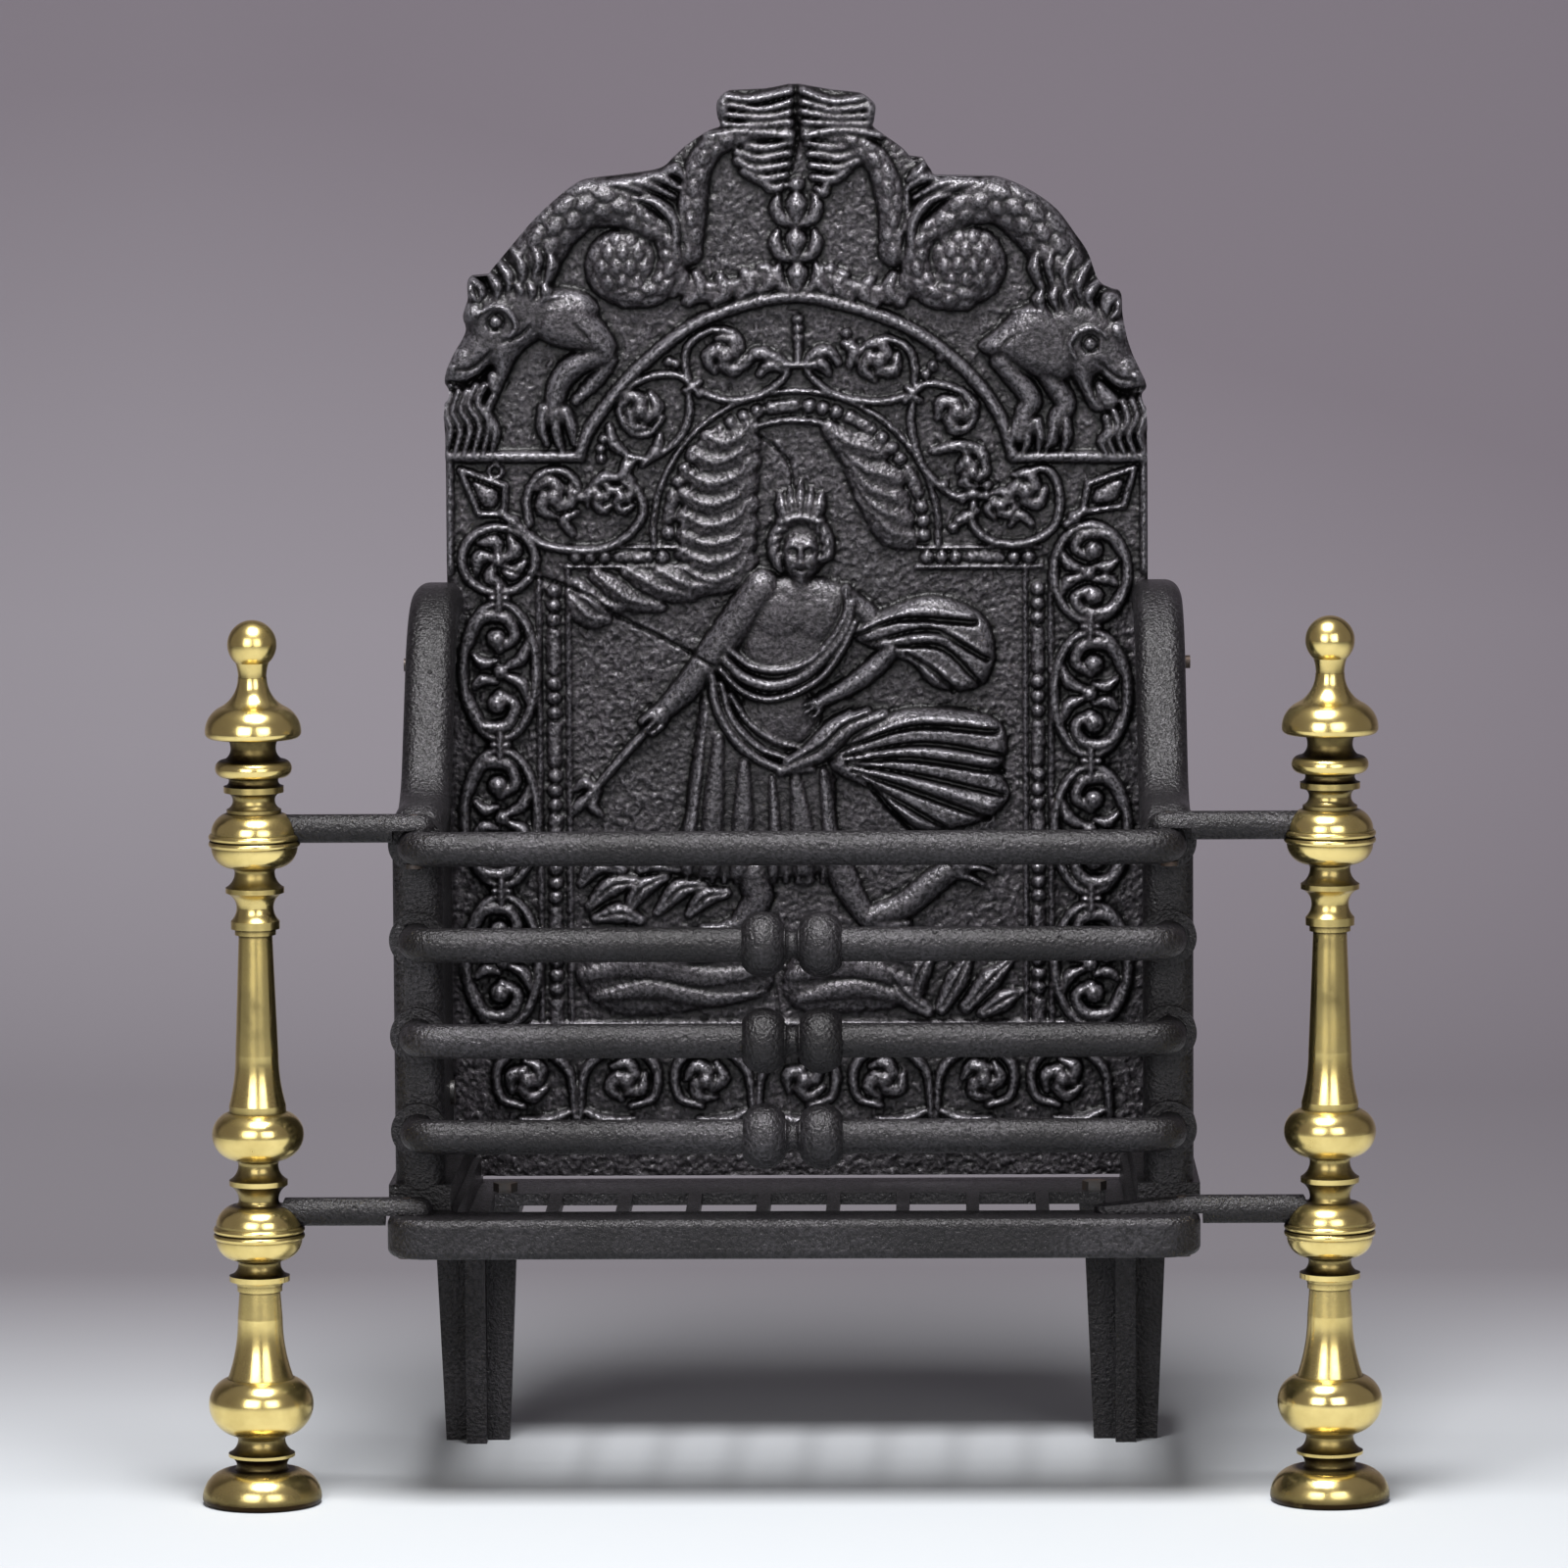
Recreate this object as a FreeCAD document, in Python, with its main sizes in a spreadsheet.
"""Cast-iron fire basket with a relief fireback and a pair of turned brass standards.

Millimetres, +Z up. The hearth is z = 0, x = 0 is the middle of the basket, and y = 0 is
half-way between the front of the brass feet and the back of the clips, with -Y to the room.
"""
import FreeCAD
import Part
import Sketcher
import math
import os

SIZES = {
    # Grate: a rimmed casting with a slotted deck
    "grate_clearance": 150.0,
    "grate_margin": 18.5,
    "grate_overhang": 28.0,
    "grate_corner_radius": 23.0,
    "rim_height": 24.0,
    "rim_depth": 34.0,
    "rim_edge_radius": 5.0,
    "rail_width": 41.0,
    "deck_thickness": 7.5,
    "slot_count": 9.0,
    "slot_wall": 8.0,
    "slot_end_wall": 10.0,
    "slot_margin": 10.0,
    "back_rail_depth": 60.0,
    # Plan of the basket: standards' axis to fireback, and the splay of the cheeks
    "chamber_depth": 225.0,
    "splay_angle": 0.8,
    "cheek_setback": 15.0,
    "cheek_half_gauge": 223.0,
    # Cheeks
    "web_thickness": 12.0,
    "bead_width": 30.0,
    "bead_depth": 25.0,
    "bead_round": 10.0,
    "cheek_foot_width": 37.0,
    "cheek_foot_height": 15.0,
    "cheek_ledge_rise": 8.5,
    "cheek_top_rise": 116.0,
    "cheek_front_bend": 17.0,
    "cheek_hollow_bend": 60.0,
    "cheek_crown_bend": 75.0,
    "cheek_slope_angle": 58.0,
    "cheek_crown_flat": 18.0,
    "boss_radius": 16.5,
    "boss_length": 5.0,
    # Fire bars
    "bar_radius": 10.25,
    "bar_setout": 15.0,
    "bar_bend_radius": 15.0,
    "bar_first_rise": 48.0,
    "bar_pitch": 57.2,
    "bar_socket_depth": 16.0,
    "fit_clearance": 0.15,
    "knop_spacing": 17.0,
    "knop_radius": 19.5,
    "knop_half_width": 12.5,
    "knop_collar_radius": 12.5,
    "knop_neck_radius": 8.0,
    # Fireback
    "fireback_lift": 4.5,
    "fireback_thickness": 18.0,
    "fireback_side_gap": 8.0,
    "shoulder_height": 447.0,
    "snout_height": 496.0,
    "snout_notch": 3.0,
    "snout_notch_rise": 38.0,
    "brow_inset": 14.0,
    "brow_height": 522.0,
    "ear_height": 557.0,
    "ear_inset": 15.0,
    "nape_inset": 24.0,
    "nape_height": 553.0,
    "back_half_width": 120.0,
    "back_height": 616.0,
    "tail_half_width": 80.0,
    "tail_height": 622.0,
    "crest_half_width": 46.5,
    "crest_foot_height": 647.0,
    "crest_side_height": 661.0,
    "crest_corner": 8.0,
    "fireback_height": 673.0,
    "moulding_width": 6.0,
    "moulding_height": 5.0,
    "moulding_gap": 3.0,
    "arch_radius": 137.5,
    "arch_crown_height": 542.0,
    "panel_half_width": 153.0,
    "panel_band": 13.0,
    "panel_band_height": 3.0,
    "panel_foot_height": 74.0,
    "panel_shoulder_height": 389.0,
    "inner_arch_radius": 80.0,
    "inner_arch_crown": 481.0,
    # Relief on the fireback: the beasts' bodies and tails, crest blocks, links, curtain, foot row
    "relief_root": 2.0,
    "beast_width": 30.0,
    "beast_relief": 10.0,
    "beast_inset": 54.0,
    "beast_rise": 73.0,
    "beast_flank": 35.0,
    "beast_arch_bend": 45.0,
    "beast_arch_turn": 145.0,
    "beast_coil_bend": 20.0,
    "beast_coil_turn": 110.0,
    "tail_width": 19.0,
    "tail_relief": 8.0,
    "tail_across": 60.0,
    "tail_rise": 28.0,
    "tail_run": 28.0,
    "tail_bend": 45.0,
    "tail_turn": 84.0,
    "crest_block_inset": 4.0,
    "crest_block_relief": 6.0,
    "link_inset": 35.0,
    "link_half_width": 21.0,
    "link_stroke": 4.6,
    "link_relief": 4.8,
    "link_first_height": 373.5,
    "link_first_half": 24.5,
    "link_height": 301.5,
    "link_half": 37.5,
    "link_pitch": 85.0,
    "volute_radius": 9.0,
    "volute_margin": 1.0,
    "curtain_across": 36.0,
    "curtain_drop": 26.0,
    "curtain_step_across": 6.4,
    "curtain_step_down": 16.4,
    "curtain_half_length": 17.0,
    "curtain_half_width": 6.4,
    "curtain_relief": 6.0,
    "curtain_turn": -25.0,
    "husk_rise": 14.5,
    "husk_pitch": 21.0,
    "husk_half_length": 12.0,
    "husk_half_width": 8.5,
    "husk_relief": 6.5,
    "foot_row_height": 46.0,
    "foot_row_pitch": 44.0,
    "foot_row_radius": 12.0,
    "foot_row_relief": 5.0,
    # Rear legs
    "leg_from_cheek": 23.0,
    "leg_from_fireback": 13.0,
    "leg_top_width": 52.0,
    "leg_foot_width": 39.0,
    "leg_rib": 12.5,
    "leg_flange": 56.0,
    "leg_flange_thickness": 9.0,
    # Arms that tie the standards to the basket
    "standard_half_gauge": 318.0,
    "arm_radius": 8.5,
    "arm_tenon_radius": 4.5,
    "upper_lap_rise": 0.75,
    "upper_arm_above_seam": 6.7,
    "upper_lap_length": 12.0,
    "lower_lap_rise": 1.5,
    "lower_arm_above_seam": 12.3,
    "left_lap_length": 16.0,
    "right_lap_length": 52.0,
    "tongue_tip_height": 3.5,
    "lap_margin": 2.5,
    # Brass standards, from the foot up: radii and rises of the turned outline
    "rod_radius": 6.0,
    "rod_foot_gap": 3.0,
    "foot_sole_radius": 33.5,
    "foot_edge_rise": 3.5,
    "foot_radius": 35.5,
    "foot_dome_rise": 17.0,
    "foot_dome_radius": 16.5,
    "foot_neck_rise": 2.3,
    "foot_neck_radius": 15.0,
    "foot_ring_rise": 5.8,
    "foot_ring_radius": 19.8,
    "foot_ring_edge": 1.8,
    "bulb_neck_rise": 8.7,
    "bulb_neck_radius": 14.0,
    "bulb_root_rise": 2.0,
    "bulb_root_radius": 15.5,
    "low_bulb_rise": 19.0,
    "low_bulb_radius": 31.2,
    "low_bulb_crown": 15.4,
    "low_bulb_top_radius": 20.3,
    "foot_hollow_radius": 29.0,
    "foot_hollow_height": 14.0,
    "lower_flare_radius": 19.6,
    "lower_flare_rise": 36.0,
    "lower_waist_radius": 13.4,
    "lower_shaft_top_radius": 12.2,
    "step_radius": 13.4,
    "step_rise": 3.5,
    "collar_seat_radius": 13.8,
    "collar_flare": 2.6,
    "lower_collar_radius": 18.0,
    "collar_edge": 3.2,
    "lower_collar_hollow": 6.8,
    "lower_collar_neck": 12.6,
    "ball_root_rise": 2.6,
    "ball_root_radius": 14.2,
    "ball_half_rise": 12.4,
    "ball_radius": 25.6,
    "girdle_radius": 27.2,
    "girdle_rise": 4.0,
    "ball_crown_radius": 15.6,
    "reel_neck_rise": 3.2,
    "reel_neck_radius": 11.9,
    "reel_flare": 8.9,
    "reel_ring_radius": 17.4,
    "reel_edge": 3.0,
    "reel_hollow": 9.2,
    "bulb_step_rise": 3.2,
    "bulb_step_radius": 15.6,
    "mid_bulb_rise": 15.0,
    "mid_bulb_radius": 27.3,
    "mid_bulb_crown": 13.4,
    "mid_bulb_top_radius": 16.9,
    "upper_flare_edge": 4.2,
    "upper_flare_radius": 16.9,
    "upper_flare_rise": 30.0,
    "upper_waist_radius": 12.8,
    "upper_shaft_top_radius": 10.0,
    "upper_step_radius": 12.2,
    "upper_step_rise": 3.6,
    "small_ring_radius": 14.5,
    "small_ring_rise": 4.6,
    "upper_collar_hollow": 8.0,
    "upper_collar_neck": 11.0,
    "vase_fillet_radius": 16.2,
    "vase_fillet_rise": 2.0,
    "vase_neck_rise": 5.4,
    "vase_neck_radius": 12.5,
    "vase_ring_flare": 4.8,
    "vase_ring_radius": 17.8,
    "vase_ring_edge": 3.6,
    "vase_groove_rise": 3.4,
    "vase_groove_radius": 14.6,
    "torus_root_rise": 2.0,
    "torus_root_radius": 17.4,
    "torus_radius": 22.8,
    "torus_half_rise": 5.2,
    "bell_neck_rise": 6.6,
    "bell_neck_radius": 13.4,
    "bell_foot_rise": 6.2,
    "bell_foot_radius": 15.2,
    "bell_lip_radius": 25.8,
    "bell_lip_rise": 3.6,
    "bell_radius": 28.6,
    "bell_shoulder_rise": 14.5,
    "bell_shoulder_radius": 20.0,
    "bell_sweep_rise": 17.8,
    "bell_top_radius": 8.6,
    "knob_foot_radius": 8.4,
    "knob_neck_rise": 8.6,
    "knob_neck_radius": 9.8,
    "knob_radius": 14.6,
    "rod_knob_reach": 12.0,
    # Fixings
    "bolt_radius": 4.0,
    "bolt_head_radius": 7.5,
    "bolt_head_height": 5.5,
    "cheek_bolt_front": 38.0,
    "cheek_bolt_back_inset": 60.0,
    "cheek_bolt_reach": 12.0,
    "leg_bolt_inset": 19.0,
    "rivet_radius": 3.0,
    "rivet_head_radius": 5.5,
    "rivet_head_height": 2.5,
    "rivet_recess": 0.6,
    "clip_width": 20.0,
    "clip_thickness": 4.0,
    "clip_reach": 46.0,
    "clip_lap": 12.0,
    "clip_bolt_inset": 24.0,
    "clip_bolt_radius": 4.0,
    "clip_nut_radius": 7.5,
    "clip_nut_height": 6.5,
    "clip_bolt_end": 3.5,
    "clip_low_height": 44.0,
    "clip_high_height": 308.0,
    "foot_nut_radius": 11.0,
    "foot_nut_height": 8.0,
}

# Rounded masses of the relief. Those of the beasts are placed in from the plate's edge and up from its
# shoulder, those of the figure across from the middle and up from the panel's foot
MASS_FIELDS = ("across", "up", "half_length", "half_width", "relief", "turn")
BEAST_MASSES = {
    "beast_head": (25.0, 61.5, 30.0, 15.0, 10.0, -45.0),
    "beast_chest": (62.0, 76.0, 34.0, 18.0, 9.5, -28.0),
    "beast_upper_arm": (86.0, 76.0, 21.0, 12.0, 10.5, 40.0),
    "beast_forearm": (84.0, 46.0, 25.0, 7.5, 8.0, -52.0),
    "beast_paw": (72.0, 16.0, 12.0, 9.0, 7.5, 70.0),
    "beast_ruffle": (169.0, 103.0, 32.0, 7.0, 5.0, -10.0),
}
FIGURE_MASSES = {
    "figure_head": (2.0, 312.0, 17.0, 12.5, 9.0, 90.0),
    "figure_chest": (1.0, 265.0, 36.0, 27.0, 9.2, 90.0),
    "figure_skirt": (-22.0, 172.0, 62.0, 44.0, 8.4, 82.0),
    "figure_left_upper_arm": (-37.0, 270.0, 27.0, 10.0, 10.0, 55.0),
    "figure_left_forearm": (-68.0, 230.0, 25.0, 7.5, 9.0, 48.0),
    "figure_right_upper_arm": (42.0, 269.5, 22.0, 8.0, 8.6, -49.0),
    "figure_right_forearm": (36.5, 236.5, 26.0, 6.5, 9.6, 36.0),
    "figure_upper_drapery": (80.0, 257.0, 42.0, 22.0, 6.0, -8.0),
    "figure_lower_drapery": (80.0, 178.0, 50.0, 30.0, 6.2, -8.0),
    "figure_left_boot": (-30.0, 98.0, 20.0, 10.0, 8.0, 80.0),
    "figure_right_boot": (31.0, 107.0, 22.0, 9.0, 8.0, -62.0),
    "figure_hound": (-92.0, 100.0, 32.0, 10.0, 7.5, -5.0),
}
for label, numbers in (BEAST_MASSES | FIGURE_MASSES).items():
    for field, number in zip(MASS_FIELDS, numbers):
        SIZES[f"{label}_{field}"] = number
LINK_COUNT = 3
CURTAIN_FOLDS = 5
HUSK_COUNT = 3
FOOT_ROW_HALF_COUNT = 4

SIDES = {"left": -1.0, "right": 1.0}
BAR_LABELS = ("lower_knop_bar", "middle_knop_bar", "upper_knop_bar", "top_bar")
RIGHT_ANGLE = 90.0
HALF_TURN = 180.0
# A cut this many times as long as what it goes through comes out clear on the far side
CLEAR = 2.0
# The sketcher numbers the points of an edge in this order
EDGE_POINTS = ("whole", "start", "end", "centre")
START = EDGE_POINTS.index("start")
END = EDGE_POINTS.index("end")
CENTRE = EDGE_POINTS.index("centre")


class Size:
    """A driving size, or a formula of several, as a number and as sheet text."""

    def __init__(self, value, text):
        self.value = float(value)
        self.text = text

    def __add__(self, other):
        other = as_size(other)
        return Size(self.value + other.value, f"({self.text} + {other.text})")

    def __sub__(self, other):
        other = as_size(other)
        return Size(self.value - other.value, f"({self.text} - {other.text})")

    def __mul__(self, other):
        other = as_size(other)
        return Size(self.value * other.value, f"({self.text} * {other.text})")

    def __truediv__(self, other):
        other = as_size(other)
        return Size(self.value / other.value, f"({self.text} / {other.text})")

    def __rsub__(self, other):
        return as_size(other) - self

    def __neg__(self):
        return self * -1.0

    __radd__ = __add__
    __rmul__ = __mul__


def as_size(number):
    """A plain number as a Size."""
    if isinstance(number, Size):
        return number
    return Size(number, f"({float(number)!r})")


def size(name):
    """The driving size of that name in the sheet."""
    return Size(SIZES[name], f"sizes.{name}")


def sine(angle):
    return Size(math.sin(math.radians(angle.value)), f"sin({angle.text} * 1 deg)")


def cosine(angle):
    return Size(math.cos(math.radians(angle.value)), f"cos({angle.text} * 1 deg)")


def tangent(angle):
    return Size(math.tan(math.radians(angle.value)), f"tan({angle.text} * 1 deg)")


def root(square):
    return Size(math.sqrt(square.value), f"sqrt({square.text})")


NOTHING = as_size(0.0)

doc = FreeCAD.newDocument("fire_basket")
sheet = doc.addObject("Spreadsheet::Sheet", "sizes")
for row, (alias, number) in enumerate(SIZES.items(), start=1):
    sheet.set(f"A{row}", alias)
    sheet.set(f"B{row}", repr(number))
    sheet.setAlias(f"B{row}", alias)
doc.recompute()

nodes = {}


# Sketch and feature helpers

def new_body(label):
    """A body that becomes one named sub-part."""
    body = doc.addObject("PartDesign::Body", label)
    body.Label = label
    nodes[label] = body
    return body


def origin_plane(body, role):
    return next(item for item in body.Origin.OriginFeatures if item.Role == role)


def new_sketch(body, name, role, lift=NOTHING):
    """A sketch on an origin plane of the body, lifted along the plane's normal."""
    sketch = body.newObject("Sketcher::SketchObject", name)
    sketch.AttachmentSupport = (origin_plane(body, role), "")
    sketch.MapMode = "FlatFace"
    sketch.setExpression("AttachmentOffset.Base.z", lift.text)
    return sketch


def bind_constraint(sketch, constraint, formula):
    index = sketch.addConstraint(constraint)
    name = f"size{index}"
    sketch.renameConstraint(index, name)
    sketch.setExpression(f"Constraints.{name}", formula.text)


def pin(sketch, edge, end, across, up):
    """Hold one end of an edge at two distances from the sketch's origin."""
    origin = -1
    for way, reach in (("DistanceX", across), ("DistanceY", up)):
        bind_constraint(sketch, Sketcher.Constraint(way, origin, START, edge, end, reach.value), reach)


def round_edge(start, finish, radius, side):
    """An arc between two points; side +1 bulges to the left of the way along it."""
    chord = finish - start
    middle = (start + finish) * 0.5
    leftward = FreeCAD.Vector(-chord.y, chord.x, 0).normalize()
    height = math.sqrt(max(radius ** 2 - (chord.Length / 2) ** 2, 0.0))
    centre = middle - leftward * (side * height)
    ends = (finish, start) if side > 0 else (start, finish)
    angles = [math.atan2(end.y - centre.y, end.x - centre.x) for end in ends]
    circle = Part.Circle(centre, FreeCAD.Vector(0, 0, 1), radius)
    return Part.ArcOfCircle(circle, angles[0], angles[1])


def draw(sketch, corners, closed=True):
    """Draw a loop or path of lines and arcs.

    Each corner is (across, up) or (across, up, radius, side), where the last two make the
    edge that leaves the corner an arc.
    """
    first = sketch.GeometryCount
    count = len(corners) if closed else len(corners) - 1
    points = [FreeCAD.Vector(corner[0].value, corner[1].value, 0) for corner in corners]
    starts = []
    finishes = []
    for index in range(count):
        corner = corners[index]
        start = points[index]
        finish = points[(index + 1) % len(points)]
        if len(corner) == 2:
            sketch.addGeometry(Part.LineSegment(start, finish))
            turned_about = False
        else:
            sketch.addGeometry(round_edge(start, finish, corner[2].value, corner[3]))
            turned_about = corner[3] > 0
        starts.append(END if turned_about else START)
        finishes.append(START if turned_about else END)
    for index in range(count):
        following = (index + 1) % count
        if closed or following:
            sketch.addConstraint(Sketcher.Constraint(
                "Coincident", first + index, finishes[index], first + following, starts[following]))
        pin(sketch, first + index, starts[index], corners[index][0], corners[index][1])
        if len(corners[index]) > 2:
            radius = corners[index][2]
            bind_constraint(sketch, Sketcher.Constraint("Radius", first + index, radius.value), radius)
    if not closed:
        pin(sketch, first + count - 1, finishes[-1], corners[-1][0], corners[-1][1])


def draw_rectangle(sketch, left, right, low, high):
    draw(sketch, [(left, low), (right, low), (right, high), (left, high)])


def draw_circle(sketch, across, up, radius):
    circle = Part.Circle(FreeCAD.Vector(across.value, up.value, 0), FreeCAD.Vector(0, 0, 1), radius.value)
    edge = sketch.addGeometry(circle)
    pin(sketch, edge, CENTRE, across, up)
    bind_constraint(sketch, Sketcher.Constraint("Radius", edge, radius.value), radius)


def feature(body, kind, name, sketch):
    made = body.newObject(f"PartDesign::{kind}", name)
    made.Profile = sketch
    return made


def pad(body, name, sketch, length, backwards=False, midplane=False, merged=True):
    """Raise a sketch; faces left in one plane by it are merged unless told not to."""
    made = feature(body, "Pad", name, sketch)
    made.Refine = merged
    made.setExpression("Length", length.text)
    made.Reversed = backwards
    made.Midplane = midplane
    doc.recompute()
    return made


def pocket(body, name, sketch, length, backwards=False, midplane=False):
    """Cut a sketch into the body and make sure that it took something away."""
    before = body.Shape.Volume
    made = feature(body, "Pocket", name, sketch)
    made.setExpression("Length", length.text)
    made.Reversed = backwards
    made.Midplane = midplane
    doc.recompute()
    if not body.Shape.Volume < before:
        raise RuntimeError(f"{body.Label}: {name} cuts nothing")
    return made


def revolve(body, name, sketch, axis):
    made = feature(body, "Revolution", name, sketch)
    made.ReferenceAxis = (sketch, [axis])
    doc.recompute()
    return made


def groove(body, name, sketch, axis):
    before = body.Shape.Volume
    made = feature(body, "Groove", name, sketch)
    made.ReferenceAxis = (sketch, [axis])
    doc.recompute()
    if not body.Shape.Volume < before:
        raise RuntimeError(f"{body.Label}: {name} cuts nothing")
    return made


def sweep(body, name, profile, path):
    made = feature(body, "AdditivePipe", name, profile)
    made.Spine = path
    doc.recompute()
    return made


def mirror(body, name, originals):
    made = body.newObject("PartDesign::Mirrored", name)
    made.Originals = originals
    made.MirrorPlane = (origin_plane(body, "YZ_Plane"), [""])
    body.Tip = made
    doc.recompute()
    return made


def fillet(body, name, base, edges, radius):
    made = body.newObject("PartDesign::Fillet", name)
    made.Base = (base, edges)
    made.setExpression("Radius", radius.text)
    doc.recompute()
    return made


def place(thing, across, along, up, turn=NOTHING):
    """Put a sub-part in the basket's frame, turned about the upright."""
    thing.Placement = FreeCAD.Placement(
        FreeCAD.Vector(across.value, along.value, up.value),
        FreeCAD.Rotation(FreeCAD.Vector(0, 0, 1), turn.value))
    thing.setExpression("Placement.Base.x", across.text)
    thing.setExpression("Placement.Base.y", along.text)
    thing.setExpression("Placement.Base.z", up.text)
    if turn is not NOTHING:
        thing.setExpression("Placement.Rotation.Angle", turn.text)


# Shared places, worked out from the driving sizes

SPLAY = size("splay_angle")
AXIS_Y = (size("foot_radius") - size("chamber_depth") - size("fireback_thickness")
          - size("clip_thickness")) / 2.0
GRATE_Z = size("grate_clearance")
RIM_TOP = GRATE_Z + size("rim_height")
DECK_TOP = GRATE_Z + size("deck_thickness")
SEAT_Z = DECK_TOP + size("fireback_lift")
GRATE_DEPTH = size("grate_overhang") + size("chamber_depth") + size("fireback_thickness")
GRATE_HALF_WIDTH = size("cheek_half_gauge") + size("grate_margin")
LEG_X = size("cheek_half_gauge") - size("leg_from_cheek")
LEG_Y = AXIS_Y + size("chamber_depth") - size("leg_from_fireback")
CHEEK_DEPTH = size("chamber_depth") - size("cheek_setback")
CHEEK_LENGTH = CHEEK_DEPTH / cosine(SPLAY) + size("cheek_foot_width") / 2.0 * tangent(SPLAY)
BAR_HEIGHTS = [
    RIM_TOP + size("bar_first_rise") + size("bar_pitch") * order for order in range(len(BAR_LABELS))
]
TOP_BAR_Z = BAR_HEIGHTS[-1]
LOWER_ARM_Z = RIM_TOP + size("lower_lap_rise")
UPPER_ARM_Z = TOP_BAR_Z + size("bar_radius") + size("upper_lap_rise")
CHEEK_Y = AXIS_Y + size("cheek_setback")
CHEEK_LEDGE = TOP_BAR_Z - RIM_TOP + size("cheek_ledge_rise")
CHEEK_TOP = RIM_TOP + CHEEK_LEDGE + size("cheek_top_rise") + size("bead_depth") / 2.0
FIREBACK_Y = AXIS_Y + size("chamber_depth")
FIREBACK_HALF = size("cheek_half_gauge") - size("fireback_side_gap")
CHEEK_BOLTS = {
    "front": size("cheek_bolt_front"),
    "back": CHEEK_DEPTH - size("cheek_bolt_back_inset"),
}
CLIP_BOLT_ALONG = CHEEK_DEPTH / cosine(SPLAY) - size("clip_bolt_inset")


# Grate

def make_grate():
    """Rim on three sides, slotted deck, a ledge at the back for the fireback."""
    body = new_body("grate_base")
    half = GRATE_HALF_WIDTH
    corner = size("grate_corner_radius")
    back_half = half - GRATE_DEPTH * tangent(SPLAY)
    back_corner_pull = tangent(SPLAY) * corner
    outline = new_sketch(body, "grate_outline", "XY_Plane")
    draw(outline, [
        (-half + corner, NOTHING),
        (half - corner, NOTHING, corner, -1),
        (half - back_corner_pull, corner),
        (back_half, GRATE_DEPTH),
        (-back_half, GRATE_DEPTH),
        (-half + back_corner_pull, corner, corner, -1),
    ])
    slab = pad(body, "grate_slab", outline, size("rim_height"))
    outer_edges = [
        f"Edge{number}" for number, edge in enumerate(slab.Shape.Edges, start=1)
        if edge.BoundBox.ZLength < slab.Length.Value / 2.0
        and edge.CenterOfMass.y < GRATE_DEPTH.value - corner.value
    ]
    fillet(body, "rim_rounding", slab, outer_edges, size("rim_edge_radius"))

    recess_half = half - size("rail_width")
    recess_back = recess_half - (GRATE_DEPTH - size("rim_depth")) * tangent(SPLAY)
    recess = new_sketch(body, "deck_recess", "XY_Plane", size("rim_height"))
    draw(recess, [
        (-recess_half, size("rim_depth")),
        (recess_half, size("rim_depth")),
        (recess_back, GRATE_DEPTH + size("rim_edge_radius")),
        (-recess_back, GRATE_DEPTH + size("rim_edge_radius")),
    ])
    pocket(body, "deck_pocket", recess, size("rim_height") - size("deck_thickness"))

    seat = new_sketch(body, "fireback_seat", "XY_Plane", size("rim_height"))
    draw_rectangle(seat, -half, half, size("grate_overhang") + size("chamber_depth"),
                   GRATE_DEPTH + size("rim_edge_radius"))
    pocket(body, "seat_pocket", seat,
           size("rim_height") - size("deck_thickness") - size("fireback_lift"))

    slot_front = size("rim_depth") + size("slot_margin")
    slot_back = GRATE_DEPTH - size("back_rail_depth")
    slot_left = size("slot_end_wall") - recess_back
    slot_pitch = (size("slot_wall") - slot_left * 2.0) / size("slot_count")
    slot = new_sketch(body, "slot_outline", "XY_Plane", size("rim_height"))
    draw_rectangle(slot, slot_left, slot_left + slot_pitch - size("slot_wall"), slot_front, slot_back)
    end_slot = pocket(body, "deck_slot", slot, size("rim_height"))
    slot_row = body.newObject("PartDesign::LinearPattern", "deck_slots")
    slot_row.Originals = [end_slot]
    slot_row.Direction = (slot, ["H_Axis"])
    slot_row.setExpression("Length", (slot_pitch * (size("slot_count") - 1.0)).text)
    slot_row.setExpression("Occurrences", size("slot_count").text)
    body.Tip = slot_row
    doc.recompute()

    holes = new_sketch(body, "bolt_holes", "XY_Plane", size("rim_height"))
    bolt_hole = size("bolt_radius") + size("fit_clearance")
    for side in SIDES.values():
        for along in CHEEK_BOLTS.values():
            across, depth = cheek_point(side, along)
            draw_circle(holes, across, depth - AXIS_Y + size("grate_overhang"), bolt_hole)
        across, depth = leg_bolt_point(side)
        draw_circle(holes, across, depth - AXIS_Y + size("grate_overhang"), bolt_hole)
        draw_circle(holes, lower_rivet_x(side), size("grate_overhang"),
                    size("rivet_radius") + size("fit_clearance"))
    pocket(body, "bolt_bores", holes, size("rim_height"))
    place(body, NOTHING, AXIS_Y - size("grate_overhang"), GRATE_Z)


def cheek_point(side, along):
    """Plan position of a point on a cheek's middle plane, some way back from its front."""
    across = (size("cheek_half_gauge") - along * sine(SPLAY)) * side
    return across, CHEEK_Y + along * cosine(SPLAY)


def leg_bolt_point(side):
    return (LEG_X - size("leg_bolt_inset")) * side, LEG_Y - size("leg_bolt_inset")


def lower_rivet_x(side):
    return (GRATE_HALF_WIDTH - size("grate_corner_radius") / 2.0) * side


def upper_rivet_x(side):
    return (size("cheek_half_gauge") + size("cheek_setback") * tangent(SPLAY)) * side


# Cheeks

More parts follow.
